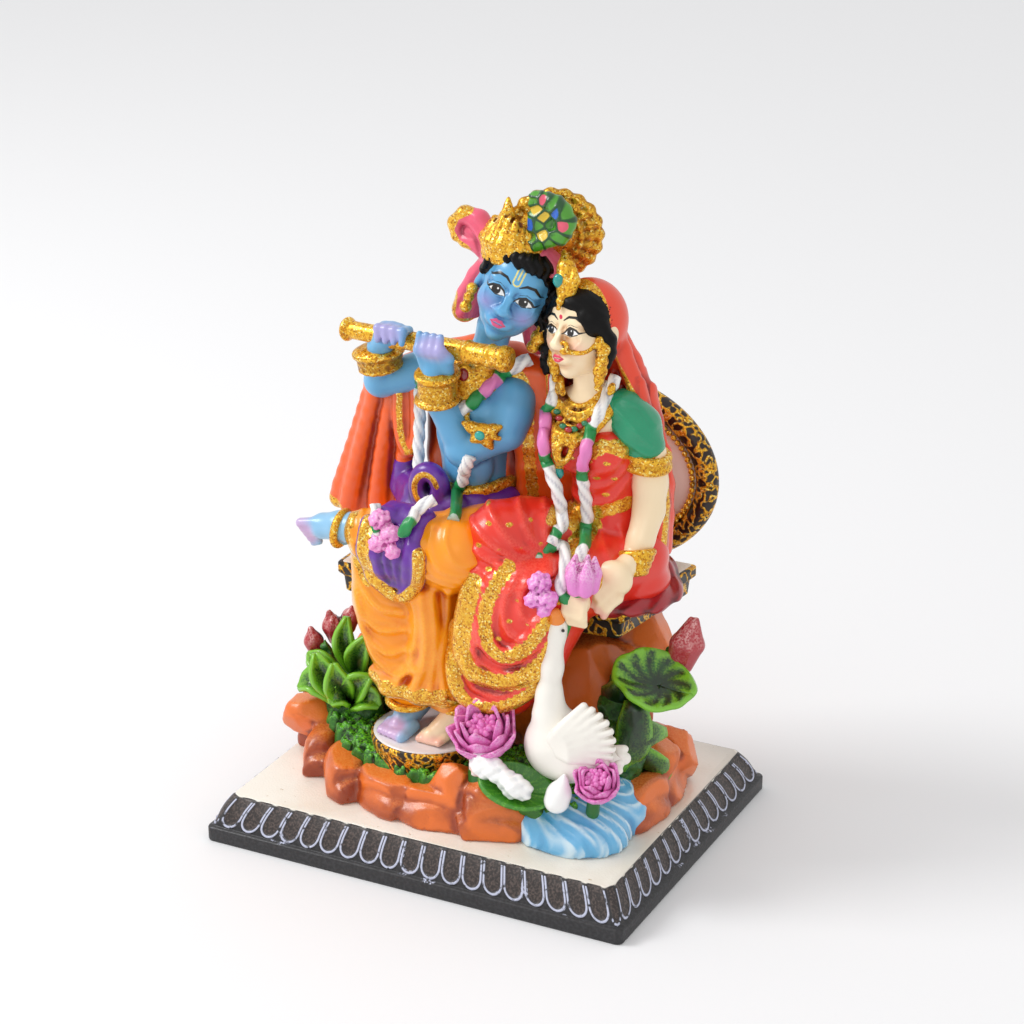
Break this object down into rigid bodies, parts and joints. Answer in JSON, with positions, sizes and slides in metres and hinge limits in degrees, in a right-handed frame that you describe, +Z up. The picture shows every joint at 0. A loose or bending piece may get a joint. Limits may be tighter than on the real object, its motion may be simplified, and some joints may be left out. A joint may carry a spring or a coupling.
{
  "type": "radha krishna statue",
  "caption": "Painted cast devotional group: a seated blue flute player and a companion on a garden bench, with swan, lotus and rocks, on a moulded rectangular plinth.",
  "frame": {"origin": "bottom centre of the plinth", "axes": "+Z up, +X along the plinth's long side to the group's left hand side as seen from the front, the front faces -Y"},
  "size_m": [0.16, 0.125, 0.2332],
  "materials": {
    "plinth_paint": "satin painted resin, marble white top over dark moulding",
    "group_paint": "hand painted resin with satin lacquer and gold glitter"
  },
  "bodies": {
    "root": {"plinth": "plinth_paint", "figure_group": "group_paint"}
  },
  "joints": []
}
